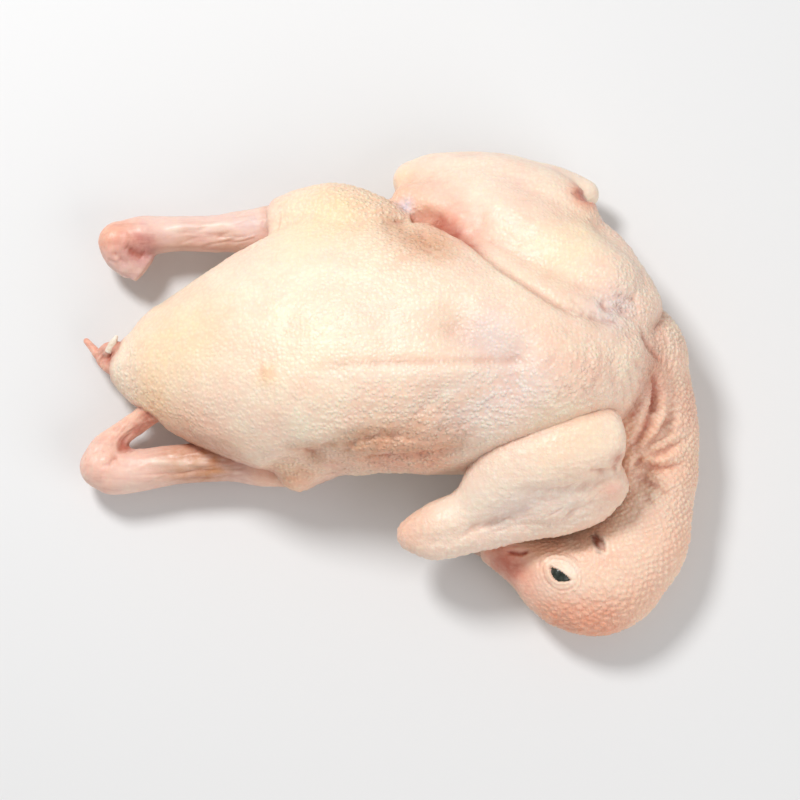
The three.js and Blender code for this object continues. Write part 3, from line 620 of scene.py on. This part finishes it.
# Local tints: round spots as pixel x and y, radius in mm and strength, and lines as width in mm, strength and
# pixels. Pores and sleek are no colours, but say where the skin is bumpy and where it is smooth and fibrous.
tintSpots = {
    # the peach spots along the neck's outer edge and the head's lower edge are partly painted warm shade
    "peach": [
        (128, 380, 7, 0.12), (152, 403, 8, 0.25), (188, 430, 8, 0.4), (226, 452, 8, 0.4), (262, 474, 7, 0.4),
        (298, 476, 8, 0.5), (268, 374, 2.6, 0.25), (408, 528, 8, 0.6), (106, 238, 8, 0.4), (560, 618, 8, 0.4),
        (600, 628, 8, 0.4), (430, 238, 8, 0.3), (385, 450, 9, 0.4), (430, 455, 9, 0.4), (690, 400, 9, 0.15),
        (692, 470, 9, 0.2), (676, 545, 9, 0.25), (640, 600, 9, 0.3), (590, 626, 9, 0.5), (550, 612, 7, 0.4),
        (640, 460, 9, 0.4), (650, 430, 9, 0.35), (660, 372, 5, 0.3), (585, 195, 4.0, 0.9), (600, 540, 9, 0.3),
        (540, 548, 8, 0.4), (112, 236, 8, 0.75), (400, 190, 7, 0.3)],
    "fat": [
        (268, 375, 3, 0.5), (115, 378, 6, 0.4), (600, 430, 8, 0.3), (340, 210, 9, 0.5), (300, 235, 10, 0.4),
        (160, 350, 14, 0.45), (200, 330, 12, 0.35), (150, 400, 8, 0.5), (104, 233, 3.5, 0.6),
        (403, 538, 5, 0.3), (402, 178, 5, 0.3), (285, 484, 6, 0.5), (300, 330, 16, 0.2), (560, 250, 10, 0.3),
        (590, 228, 8, 0.3), (560, 440, 10, 0.3)],
    # the blush spots at the head's lower edge and on the left drumstick by the thigh are partly painted shade
    "blush": [
        (264, 368, 2.2, 0.1), (585, 195, 4.0, 0.9), (140, 246, 6, 0.5), (200, 238, 7, 0.3),
        (440, 222, 6, 0.3), (470, 228, 6, 0.25), (430, 185, 8, 0.2), (520, 190, 12, 0.12), (590, 375, 9, 0.1),
        (570, 358, 7, 0.1), (657, 392, 4, 0.35), (620, 395, 7, 0.1), (540, 322, 8, 0.15), (385, 465, 8, 0.38),
        (430, 460, 7, 0.32), (340, 468, 6, 0.35), (452, 492, 5, 0.2), (474, 474, 5, 0.2), (450, 216, 5, 0.35),
        (250, 226, 6, 0.3), (612, 490, 4, 0.6), (525, 588, 6, 0.4), (510, 566, 6, 0.8), (496, 558, 5, 0.6),
        (672, 400, 9, 0.2), (600, 624, 9, 0.4), (556, 616, 8, 0.4), (205, 463, 9, 0.6), (402, 536, 5, 0.3),
        (470, 240, 5, 0.3)],
    # the lids' own pale colour, a painted highlight in the ear, and painted light on the left wing and the tail
    # where they turn from the lamps
    "pale": [
        (117, 366, 6, 0.45), (126, 384, 7, 0.3), (452, 492, 5, 0.45), (474, 470, 5, 0.4), (455, 505, 8, 0.4),
        (500, 490, 10, 0.3), (610, 420, 6, 0.3), (566, 567, 2.6, 0.7), (602, 546, 1.8, 0.9),
        (573, 572, 2.0, 0.6), (552, 562, 2.0, 0.5), (548, 590, 4, 0.3), (575, 590, 4, 0.25),
        (300, 224, 8, 0.15), (300, 300, 22, 0.15), (500, 180, 12, 0.25), (105, 352, 1.5, 0.4)],
    # the skin's bluish tone, and painted shade in the breast's upper hollow and on the left drumstick by the
    # thigh
    "chillAndShade": [
        (406, 206, 2.6, 0.9), (606, 313, 6, 0.4), (622, 305, 5, 0.35), (500, 398, 9, 0.3), (530, 384, 7, 0.3),
        (465, 418, 9, 0.25), (485, 333, 8, 0.4), (205, 455, 8, 0.5), (512, 347, 6, 0.25), (515, 507, 5, 0.35),
        (540, 498, 6, 0.3), (570, 503, 5, 0.25), (498, 520, 5, 0.3), (250, 225, 5, 0.4), (225, 466, 6, 0.3)],
    "shade": [
        (455, 322, 8, 0.15), (205, 455, 7, 0.2), (225, 240, 4.5, 0.3), (185, 243, 4.5, 0.25),
        (410, 235, 6, 0.45), (428, 245, 6, 0.4), (445, 250, 5, 0.3), (394, 222, 4, 0.4), (308, 454, 4, 0.3),
        (296, 450, 3, 0.35), (210, 463, 10, 0.75), (182, 462, 8, 0.5), (320, 462, 3.5, 0.4),
        (375, 447, 8, 0.35), (415, 446, 8, 0.35), (350, 452, 6, 0.35), (455, 443, 6, 0.35),
        (595, 322, 3, 0.25)],
    "blood": [
        (512, 570, 3.6, 0.35), (500, 560, 3.2, 0.35), (139, 252, 4.5, 0.42), (128, 250, 3.5, 0.25),
        (150, 243, 4, 0.25), (585, 195, 3.2, 0.55), (137, 434, 2.6, 0.4), (149, 421, 2.8, 0.5),
        (141, 428, 2.4, 0.4), (657, 391, 2.2, 0.3), (124, 446, 2.4, 0.4), (109, 357, 1.8, 0.6),
        (102, 351, 1.2, 0.4), (620, 460, 2.6, 0.6)],
    # painted shadow at the edge of the ear opening
    "dark": [(596, 538, 1.4, 0.95)],
    "pores": [
        (355, 190, 10, 0.8), (388, 203, 8, 0.9), (604, 215, 9, 0.6), (640, 280, 9, 0.8), (672, 336, 10, 0.8),
        (395, 472, 9, 0.9), (435, 466, 8, 0.9), (350, 474, 8, 0.9), (640, 310, 8, 0.7), (410, 238, 10, 0.8),
        (390, 213, 7, 0.8), (360, 198, 8, 0.6), (590, 370, 10, 0.6), (500, 400, 12, 0.6), (430, 430, 12, 0.8),
        (370, 440, 12, 0.8), (300, 470, 9, 0.7), (400, 462, 9, 0.8), (690, 400, 11, 0.9), (694, 460, 11, 0.9),
        (684, 520, 11, 0.9), (660, 580, 11, 0.9), (620, 615, 11, 0.9), (575, 620, 9, 0.7), (130, 382, 9, 0.4),
        (190, 425, 10, 0.4), (645, 370, 8, 0.6)],
    "sleek": [
        (562, 573, 6, 0.7), (520, 566, 6, 0.6), (605, 543, 4, 0.6), (480, 215, 7, 0.5), (471, 490, 5, 0.6),
        (438, 506, 6, 0.4), (300, 260, 16, 0.3)],
}
tintLines = {
    # painted highlights along the leg tendons, the keel's ridge and the ridge below it
    "pale": [
        (1.1, 0.5, [(236, 223), (200, 227), (160, 229)]), (1.2, 0.4, [(215, 462), (180, 464), (140, 460)]),
        (2.4, 0.4, [(300, 378), (360, 373), (430, 370), (510, 369)]),
        (1.8, 0.45, [(385, 421), (438, 399), (471, 383), (502, 371)])],
    "shade": [
        (2.2, 0.3, [(290, 369), (360, 364), (430, 362), (530, 361)]),
        (2.6, 0.5, [(298, 453), (340, 443), (372, 434), (400, 430)]),
        (1.8, 0.25, [(395, 433), (440, 411), (480, 392), (512, 378)])],
    "blood": [
        (1.2, 0.75, [(643, 400), (636, 411), (627, 425)]),
        (0.6, 0.95, [(498, 549), (510, 552), (521, 553), (531, 550)]),
        (1.3, 0.45, [(378, 459), (400, 457), (432, 454)]),
        (0.8, 0.3, [(638, 324), (647, 339), (657, 353), (667, 368)]),
        (0.9, 0.5, [(655, 370), (657, 384), (658, 402), (656, 418)]),
        (1.4, 0.45, [(655, 405), (646, 428), (634, 446), (622, 458)]),
        (1.0, 0.4, [(669, 418), (657, 438), (640, 452), (620, 460)]),
        (1.0, 0.4, [(656, 487), (638, 477), (622, 466)]),
        (1.5, 0.6, [(428, 214), (447, 223), (468, 235), (490, 252)])],
    # painted shadow along the edge of the ear opening
    "dark": [(0.7, 0.9, [(594, 533), (594, 541), (598, 550), (603, 553)])],
}


# How much of each limb a point has: 1 on it, falling off as a bell with the distance past it in half widths
def limbShares(points, full=1.08, fade=0.28):
    shares = {}
    for name, rows in limbs.items():
        closest = np.full(len(points), 9.0)
        for x, y, z, wide, high, tilt in lineThrough(rows, 3 * len(rows)):
            closest = np.minimum(closest, np.linalg.norm(points - [x, y, z], axis=1) / max(wide, high))
        shares[name] = np.exp(-(np.maximum(closest - full, 0) / fade) ** 2)
    return shares


# How strongly each point takes a tint: the mean of its limbs' shares, then the local marks, each taking a part
# of what is left, so that the sum never goes past 1
def tinted(points, shares, tint, trunkShare=0.35, heightWeight=0.7, reach=2.5, fade=0.2, seed=71):
    given = trunkShare * trunkTints.get(tint, 0) + sum(
        shares[name] * tints.get(tint, 0) for name, tints in limbTints.items())
    left = 1 - given / (trunkShare + sum(shares.values()))
    left = spared(left, points, tintSpots[tint], spotPlaces[tint], heightWeight)
    for (width, strength, pixels), places in zip(tintLines.get(tint, []), linePlaces.get(tint, [])):
        at, distance, share = nearLine(points, places, reach * width)
        ends = soften(share / fade) * soften((1 - share) / fade) * (0.75 + 0.5 * softNoise(points[at], 3, seed))
        left[at] *= 1 - np.clip(strength * ends, 0, 1) * np.exp(-(distance / width) ** 2)
    return 1 - left


# How near each point is to other skins: their points marked in a grid of 1 mm cells and spread to the cells
# beside them a few times
def closeness(points, others, spread=3, margin=6):
    low = restPoints.min(0) - margin
    shape = np.ceil(restPoints.max(0) + margin - low).astype(int)
    grid = np.zeros(shape)
    grid[tuple((others - low).astype(int).T)] = 1
    for axis in (0, 1, 2) * spread:
        grid = (np.roll(grid, 1, axis) + grid + np.roll(grid, -1, axis)) / 3
    cell = tuple(np.clip((points - low).astype(int), 0, shape - 1).T)
    return grid[cell]


# The grain of the skin in mm: broad and small lumps, flatter by calm where it is sleek, how deep a hollow is a
# full crease for the painted shade in creases, and how strongly painted shade darkens the skin where it tucks
# in
grain = {
    "lumps": 0.45, "lumpSize": 16, "smallLumps": 0.32, "smallLumpSize": 6.5, "calm": 0.4, "hollowDepth": 0.45,
    "hollowRounds": 5, "tuckRounds": 12, "tuckGain": 4, "tuckFloor": 0.25,
}
pebbles = {
    "neckSkin": {"size": 1.5, "height": 0.6, "scatter": 0.5},
    "leftWingSkin": {"size": 1.8, "height": 0.34, "scatter": 0.6},
    "others": {"size": 2.0, "height": 0.38, "scatter": 0.6},
}

foldLines = [[*numbers, skinAt(pixels)] for *numbers, pixels in folds.values()]
swellPlaces = skinAt([row[0] for row in swells.values()])
creaseSpots = {name: skinAt([row[:2] for row in rows[4]]) for name, rows in creases.items()}
spotPlaces = {tint: skinAt([row[:2] for row in rows]) for tint, rows in tintSpots.items()}
linePlaces = {tint: [skinAt(row[2]) for row in rows] for tint, rows in tintLines.items()}
slitPlaces = skinAt([slit["pixel"] for slit in slits.values()])
print("marks placed")


# Along the neck and head: how far along their line each point is, and how far round it, both in mm
def neckPlace(points, halfWidth=13, steps=160):
    line = lineThrough(limbs["neck"][:-2] + limbs["head"], steps)[:, :3]
    along = np.r_[0, np.cumsum(np.linalg.norm(np.diff(line, axis=0), axis=1))]
    nearest, at = np.full(len(points), 1e9), np.zeros(len(points), int)
    for k in range(len(line)):
        gap = np.sum((points - line[k]) ** 2, 1)
        closer = gap < nearest
        nearest[closer], at[closer] = gap[closer], k
    step = unit(np.gradient(line, axis=0))[at]
    gap = points - line[at]
    side = np.cross([0, 0, 1], step)
    around = halfWidth * np.arctan2(np.sum(gap * side, 1), gap[:, 2])
    return np.stack([along[at] + np.sum(gap * step, 1), around, np.zeros(len(points))], 1)


# Where each point lies among the pebbles, wavered by noise: at its own place
def pebblePlace(points, waver=0.4, size=5, seeds=(21, 22, 23)):
    return points + waver * np.stack([softNoise(points, size, seed) for seed in seeds], 1)


# The same on the neck and head: by how far along and round them it is, so that pebbles lie in slanting rows
def neckPebblePlace(points, rowTurn=45, waver=0.8, size=8, seed=24):
    u, v, z = turned(neckPlace(points), 0, rowTurn)
    middle = np.full(len(u), 0.5 * pebbles["neckSkin"]["size"])
    return np.stack([u, v, middle], 1) + waver * softNoise(points, size, seed)[:, None] * [1, 1, 0]


# Pebbles as rounded tops from 0 to 1, a smooth step of the distance to the nearest one
def pebbleTops(name, points, top=1.25, slope=2.0, seed=31):
    pebble = pebbles.get(name, pebbles["others"])
    places = neckPebblePlace(points) if name == "neckSkin" else pebblePlace(points)
    tops = soften(top - pebbleDistance(places, pebble["size"], seed, pebble["scatter"]) * slope)
    return tops, pebble["height"]


# The relief, from the largest folds to the pebbles, and masks of the creases and of where parts tuck in, for
# the painted shade there
for name, skin in skins.items():
    rest = skin.rest
    shares = limbShares(rest)
    skin.masks = {tint: tinted(rest, shares, tint) for tint in tintSpots}
    pressFolds(skin)
    swellUp(skin)
    skin.ease(easing["foldRounds"], 0, easing["foldEven"])
    for slit, place in zip(slits.values(), slitPlaces):
        if slit["part"] == name:
            openSlit(skin, slit, place)
    broad, small = softNoise(rest, grain["lumpSize"], 3), softNoise(rest, grain["smallLumpSize"], 4)
    height = grain["lumps"] * broad + grain["smallLumps"] * small
    height *= 1 - grain["calm"] * skin.masks["sleek"]
    addCreases(height, rest)
    skin.raiseBy(height)
    finer = parts["bodySkin"]["voxel"] / skin.voxel
    # painted shade in creases: how far each point lies below its evened neighbours
    even = skin.evened(skin.co, int(grain["hollowRounds"] * finer ** 2))
    sunk = np.sum((even - skin.co) * skin.normals(), 1)
    skin.masks["crease"] = np.clip(sunk / grain["hollowDepth"], 0, 1)
    bumps, bumpHeight = pebbleTops(name, rest)
    skin.raiseBy(bumpHeight * bumps * skin.masks["pores"] * (1 - skin.masks["sleek"]))
    skin.co[:, 2] = np.maximum(skin.co[:, 2], 0)
    # painted shade where this skin tucks against the other parts
    others = np.vstack([other.rest for key, other in skins.items() if key != name])
    tuck = skin.evened(closeness(rest, others)[:, None], grain["tuckRounds"])[:, 0]
    skin.masks["tuck"] = np.clip(tuck * grain["tuckGain"] - grain["tuckFloor"], 0, 1)
    skin.masks["bumps"] = bumps
    print(name, "relief done")


# A piece of the bird: its mesh, its masks as attributes, its material and what it stands for
def addPiece(name, co, faces, material, masks=None):
    mesh = bpy.data.meshes.new(name)
    mesh.from_pydata((co * mm).tolist(), [], faces)
    mesh.polygons.foreach_set("use_smooth", np.ones(len(mesh.polygons), bool))
    piece = bpy.data.objects.new(name, mesh)
    bpy.context.scene.collection.objects.link(piece)
    for key, values in (masks or {}).items():
        mesh.attributes.new(key, "FLOAT", "POINT").data.foreach_set("value", values.astype(np.float32))
    mesh.materials.append(material)
    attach(piece, "root")
    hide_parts("pigeon")


# A node with its settings, its inputs linked or set
def addNode(tree, kind, inputs=None, **settings):
    node = tree.nodes.new(kind)
    for key, value in settings.items():
        setattr(node, key, value)
    for key, value in (inputs or {}).items():
        if isinstance(value, bpy.types.NodeSocket):
            tree.links.new(value, node.inputs[key])
        else:
            node.inputs[key].default_value = value
    return node


def maths(tree, kind, a, b, c=0.0, clamp=False):
    return addNode(tree, "ShaderNodeMath", {0: a, 1: b, 2: c}, operation=kind, use_clamp=clamp).outputs[0]


# One colour laid over another by a mask
def laidOver(tree, under, colour, mask):
    mix = addNode(tree, "ShaderNodeMix", {"Factor": mask, 6: under, 7: colour}, data_type="RGBA")
    return mix.outputs[2]


# A node group that is given a place and a size and gives out numbers
def newGroup(name, size, outputs):
    group = bpy.data.node_groups.new(name, "ShaderNodeTree")
    group.interface.new_socket(name="Place", in_out="INPUT", socket_type="NodeSocketVector")
    group.interface.new_socket(name="Size", in_out="INPUT", socket_type="NodeSocketFloat").default_value = size
    for label in outputs:
        group.interface.new_socket(name=label, in_out="OUTPUT", socket_type="NodeSocketFloat")
    given = group.nodes.new("NodeGroupInput").outputs
    return group, given["Place"], maths(group, "DIVIDE", 1.0, given["Size"]), group.nodes.new("NodeGroupOutput")


goosebumpLook = {
    "size": 1.5, "warpScale": 0.35, "warp": 0.8, "randomness": 0.75,
    "Height": (0.62, 0.08), "LitTips": (0.4, 0.1), "ShadedHollows": (0.42, 0.7),
}


# Goosebumps: cells scattered about warped places. Each output rises from 0 to 1 between two distances from a
# cell's point. Height lifts the bumps; the other two are masks for the painted highlight on each bump's tip and
# the painted shade around it.
def makeGoosebumps():
    look = goosebumpLook
    group, place, scale, out = newGroup("goosebumps", look["size"], ["Height", "LitTips", "ShadedHollows"])
    noise = addNode(group, "ShaderNodeTexNoise", {"Vector": place, "Scale": look["warpScale"], "Detail": 1.0})
    shift = addNode(group, "ShaderNodeVectorMath", {0: noise.outputs["Color"], 3: look["warp"]},
                    operation="SCALE").outputs[0]
    warped = addNode(group, "ShaderNodeVectorMath", {0: place, 1: shift}, operation="ADD").outputs[0]
    cells = addNode(group, "ShaderNodeTexVoronoi",
                    {"Vector": warped, "Scale": scale, "Randomness": look["randomness"]}, feature="F1")
    for label in ("Height", "LitTips", "ShadedHollows"):
        low, high = look[label]
        rise = addNode(group, "ShaderNodeMapRange",
                       {"Value": cells.outputs["Distance"], "From Min": low, "From Max": high},
                       interpolation_type="SMOOTHSTEP" if label == "Height" else "LINEAR")
        group.links.new(rise.outputs[0], out.inputs[label])
    return group


mottleLook = {"size": 10.0, "detail": 4.0, "roughness": 0.6, "low": 0.33, "high": 0.67}


# Mottling: soft noise spread to use the whole range from 0 to 1
def makeMottle():
    look = mottleLook
    group, place, scale, out = newGroup("mottle", look["size"], ["Amount"])
    noise = addNode(group, "ShaderNodeTexNoise", {
        "Vector": place, "Scale": scale, "Detail": look["detail"], "Roughness": look["roughness"]})
    spread = addNode(group, "ShaderNodeMapRange", {
        "Value": noise.outputs[0], "From Min": look["low"], "From Max": look["high"]})
    group.links.new(spread.outputs[0], out.inputs["Amount"])
    return group


goosebumps, mottle = makeGoosebumps(), makeMottle()


# A colour as the shader takes it, from the code of how it looks
def srgb(code):
    value = [int(code[k:k + 2], 16) / 255 for k in (1, 3, 5)]
    return [v / 12.92 if v <= 0.04045 else ((v + 0.055) / 1.055) ** 2.4 for v in value] + [1]


def newMaterial(name):
    material = bpy.data.materials.new(name)
    material.use_nodes = True
    tree = material.node_tree
    place = addNode(tree, "ShaderNodeTexCoord").outputs["Object"]
    inMm = addNode(tree, "ShaderNodeMapping", {"Vector": place, "Scale": (1000, 1000, 1000)}).outputs[0]
    return material, tree, tree.nodes["Principled BSDF"], inMm


def grouped(tree, group, inputs):
    return addNode(tree, "ShaderNodeGroup", inputs, node_tree=group).outputs


# Colours of the skin: crease and hollow are painted shade in creases, tucks and between bumps, and the tip
# colour is a painted highlight on the bumps
skinLook = {
    "cream": "#fbe8d1", "rose": "#f8d8c3", "fat": "#fde0ae", "blush": "#e8937b", "chillAndShade": "#dcd3da",
    "shade": "#c48a5c", "blood": "#a5382a", "pale": "#fbf0df", "dark": "#4a2f2a", "crease": "#b0553a",
    "peach": "#f2a87c", "tipHighlight": "#fff2e2", "hollow": "#e2a68c",
    "roseSize": 11.0, "fineSize": 2.6, "leastTint": 0.75, "tintSpread": 0.5, "roughness": (0.36, 0.5),
    "subsurface": 0.25, "subsurfaceScale": 0.0022, "subsurfaceRadius": (1.0, 0.42, 0.25),
    "creaseShare": 0.6, "tuckShare": 0.36, "tipHighlightShare": 0.15, "bumpHeight": 0.0004, "wrinkleScale": 0.7,
    "fibreStretch": (0.07, 0.5, 0.5), "fibreRange": (0.5, 0.66), "fibreShare": 0.5,
}
# The larger bumps of the fine skin are in its mesh, with painted shade between them
skinKinds = {
    "bodyRawSkin": {"dots": 1.4, "dotShare": 1.0, "hollowShadeShare": 0.4, "wrinkleShare": 0.45, "lowShadeShare": 0},
    "fineRawSkin": {"dots": 0.9, "dotShare": 0.35, "hollowShadeShare": 0.1, "wrinkleShare": 0.2, "lowShadeShare": 0.35},
}


# Skin: tints laid over one another by the masks, painted shade in creases, tucks and between bumps, painted
# highlights on the bump tips, red fibres where it is sleek, and small bumps and wrinkles
def makeSkin(name):
    look, kind = skinLook, skinKinds[name]
    material, tree, shader, place = newMaterial(name)
    mask = {key: addNode(tree, "ShaderNodeAttribute", attribute_name=key).outputs["Fac"]
            for key in [*tintSpots, "crease", "tuck", "bumps"]}

    def times(a, b):
        return maths(tree, "MULTIPLY", a, b)

    def tint(under, key, strength):
        return laidOver(tree, under, srgb(look[key]), strength)

    broad = grouped(tree, mottle, {"Place": place, "Size": look["roseSize"]})["Amount"]
    fine = grouped(tree, mottle, {"Place": place, "Size": look["fineSize"]})["Amount"]
    dots = grouped(tree, goosebumps, {"Place": place, "Size": kind["dots"]})
    uneven = maths(tree, "MULTIPLY_ADD", fine, look["tintSpread"], look["leastTint"])
    bumpy = times(mask["pores"], maths(tree, "SUBTRACT", 1.0, mask["sleek"]))
    colour = tint(srgb(look["cream"]), "rose", broad)
    for key in ("fat", "peach", "blush", "chillAndShade", "shade", "pale", "blood", "dark"):
        colour = tint(colour, key, maths(tree, "MULTIPLY", mask[key], uneven, clamp=True))
    # painted shade: creases and tucks darkened with the crease colour
    for key in ("crease", "tuck"):
        colour = tint(colour, "crease", maths(tree, "MULTIPLY", mask[key], look[key + "Share"], clamp=True))
    stretched = addNode(tree, "ShaderNodeMapping", {"Vector": place, "Scale": look["fibreStretch"]}).outputs[0]
    fibre = addNode(tree, "ShaderNodeTexNoise", {"Vector": stretched, "Scale": 1.0, "Detail": 3.0}).outputs[0]
    low, high = look["fibreRange"]
    streak = addNode(tree, "ShaderNodeMapRange", {"Value": fibre, "From Min": low, "From Max": high}).outputs[0]
    redder = times(mask["blush"], times(streak, mask["sleek"]))
    colour = tint(colour, "blood", times(redder, look["fibreShare"]))
    # painted shade between the mesh's pebbles and in the goosebumps' hollows, and a painted highlight on their
    # tips
    between = times(bumpy, maths(tree, "SUBTRACT", 1.0, mask["bumps"]))
    colour = tint(colour, "hollow", times(between, kind["lowShadeShare"]))
    colour = tint(colour, "hollow", times(times(dots["ShadedHollows"], bumpy), kind["hollowShadeShare"]))
    colour = tint(colour, "tipHighlight", times(times(dots["LitTips"], bumpy), look["tipHighlightShare"]))
    tree.links.new(colour, shader.inputs["Base Color"])
    smooth, rough = look["roughness"]
    gloss = addNode(tree, "ShaderNodeMapRange", {"Value": fine, "To Min": smooth, "To Max": rough})
    tree.links.new(gloss.outputs[0], shader.inputs["Roughness"])
    wrinkle = addNode(tree, "ShaderNodeTexNoise", {
        "Vector": place, "Scale": look["wrinkleScale"], "Detail": 4.0, "Roughness": 0.6}).outputs[0]
    dotted = times(bumpy, kind["dotShare"])
    height = maths(tree, "MULTIPLY_ADD", dots["Height"], dotted, times(wrinkle, kind["wrinkleShare"]))
    bump = addNode(tree, "ShaderNodeBump", {"Height": height, "Strength": 1.0, "Distance": look["bumpHeight"]})
    tree.links.new(bump.outputs[0], shader.inputs["Normal"])
    shader.inputs["Subsurface Weight"].default_value = look["subsurface"]
    shader.inputs["Subsurface Radius"].default_value = look["subsurfaceRadius"]
    shader.inputs["Subsurface Scale"].default_value = look["subsurfaceScale"]
    return material


bodySkinMaterial, fineSkinMaterial = makeSkin("bodyRawSkin"), makeSkin("fineRawSkin")
for name, skin in skins.items():
    material = bodySkinMaterial if name == "bodySkin" else fineSkinMaterial
    addPiece(name, skin.co, skin.quads.tolist(), material, skin.masks)


# A material of two colours mottled together
def makeMottled(name, first, second, size, roughness, bump=0.0001):
    material, tree, shader, place = newMaterial(name)
    amount = grouped(tree, mottle, {"Place": place, "Size": size})["Amount"]
    tree.links.new(laidOver(tree, srgb(first), srgb(second), amount), shader.inputs["Base Color"])
    relief = addNode(tree, "ShaderNodeBump", {"Height": amount, "Strength": 0.6, "Distance": bump})
    tree.links.new(relief.outputs[0], shader.inputs["Normal"])
    shader.inputs["Roughness"].default_value = roughness
    return material


# A ball: circles of latitude as closed rings, with a small flat at each pole
def ball(centre, radius, rings=24, around=40, pole=0.02):
    turn = np.linspace(pole, np.pi - pole, rings)
    angle = np.linspace(0, 2 * np.pi, around, endpoint=False)
    ring = np.stack([np.sin(turn)[:, None] * np.cos(angle), np.sin(turn)[:, None] * np.sin(angle),
                     np.broadcast_to(-np.cos(turn)[:, None], (rings, around))], -1)
    return ringsToSkin(np.asarray(centre) + radius * ring)


# The eyeball in mm: its radius, how far it lies under the lids, and how near the skin lies that shows which
# way it looks. The others are limbs like those above. Each skin: its material, two colours, the mottling's size
# and the roughness.
eyeball = {"radius": 4.9, "sunk": 0.55, "lids": 5, "skin": ["darkEye", "#1b211a", "#39423a", 1.5, 0.12]}
smallLimbs = {
    "beak": {
        "rows": [
            [36.5, -48.6, 10.4, 4.3, 5.2, 0], [29.3, -46.2, 9.6, 3.2, 4, 0], [23.3, -44, 8.6, 2.4, 3, 0],
            [17.6, -42, 6.6, 1.2, 1.6, 0]],
        "dome": 0.6, "around": 32, "skin": ["paleHorn", "#c9a48c", "#a98474", 3, 0.35]},
    "quill": {
        "rows": [
            [-83.4, 12.2, 13, 1.1, 0.8, 0], [-82, 14.6, 13.6, 1.2, 0.7, 0], [-80.8, 16.8, 14, 0.5, 0.4, 0]],
        "dome": 0.6, "around": 20, "skin": ["whiteQuill", "#f7eee0", "#e2cdb2", 1.2, 0.4]},
}
headSkin, eyePlace = skins["neckSkin"], slitPlaces[0]
atEye = np.linalg.norm(headSkin.rest - eyePlace, axis=1) < eyeball["lids"]
eyeFacing = unit(headSkin.normals()[atEye].sum(0))
eyeDepth = eyeball["radius"] + eyeball["sunk"] - swells["eyeMound"][4]
co, faces = ball(eyePlace - eyeFacing * eyeDepth, eyeball["radius"])
addPiece("eyeball", co, faces, makeMottled(*eyeball["skin"]))
for name, made in smallLimbs.items():
    co, faces = carriedEllipse(made["rows"], made["dome"], made["around"])
    addPiece(name, co, faces, makeMottled(*made["skin"]))
print("pieces made")

# Floor, lights and camera. Each softbox: where it is, what it points at and its size, in metres, and its watts.
studio = {
    "floorSide": 3.0, "floorGap": 0.0001, "floorColour": (0.78, 0.78, 0.78, 1), "floorRoughness": 0.9,
    "worldColour": (1, 1, 1, 1), "worldStrength": 0.42,
    "mainSoftbox": [(-0.32, 0.4, 0.72), (0, 0, 0.02), 0.22, 5.2],
    "fillSoftbox": [(0.6, -0.45, 0.5), (0.03, 0, 0.02), 0.8, 2.9],
}
half = studio["floorSide"] / 2
corners = [(-half, -half, 0), (half, -half, 0), (half, half, 0), (-half, half, 0)]
floorMesh = bpy.data.meshes.new("floor")
floorMesh.from_pydata(corners, [], [(0, 1, 2, 3)])
floor = bpy.data.objects.new("floor", floorMesh)
floor.location.z = -studio["floorGap"]
bpy.context.scene.collection.objects.link(floor)
floorMat = bpy.data.materials.new("paleFloor")
floorMat.use_nodes = True
floorMat.node_tree.nodes["Principled BSDF"].inputs["Base Color"].default_value = studio["floorColour"]
floorMat.node_tree.nodes["Principled BSDF"].inputs["Roughness"].default_value = studio["floorRoughness"]
floorMesh.materials.append(floorMat)

for name in ("mainSoftbox", "fillSoftbox"):
    place, aim, size, watts = studio[name]
    light = bpy.data.lights.new(name, "AREA")
    light.shape, light.size, light.energy = "DISK", size, watts
    lamp = bpy.data.objects.new(name, light)
    lamp.location = place
    lamp.rotation_euler = (Vector(aim) - Vector(place)).to_track_quat("-Z", "Y").to_euler()
    bpy.context.scene.collection.objects.link(lamp)

world = bpy.data.worlds.new("world")
world.use_nodes = True
world.node_tree.nodes["Background"].inputs["Color"].default_value = studio["worldColour"]
world.node_tree.nodes["Background"].inputs["Strength"].default_value = studio["worldStrength"]
bpy.context.scene.world = world
bpy.context.scene.view_settings.view_transform = "Standard"

eyeData = bpy.data.cameras.new("camera")
eyeData.lens, eyeData.sensor_width = camera["lens"], camera["sensor"]
eye = bpy.data.objects.new("camera", eyeData)
eye.location = (Vector(camera["aim"]) + Vector(viewBack) * camera["distance"]) * mm
eye.rotation_euler = (math.pi / 2 - viewTilt, 0, 0)
bpy.context.scene.collection.objects.link(eye)
bpy.context.scene.camera = eye
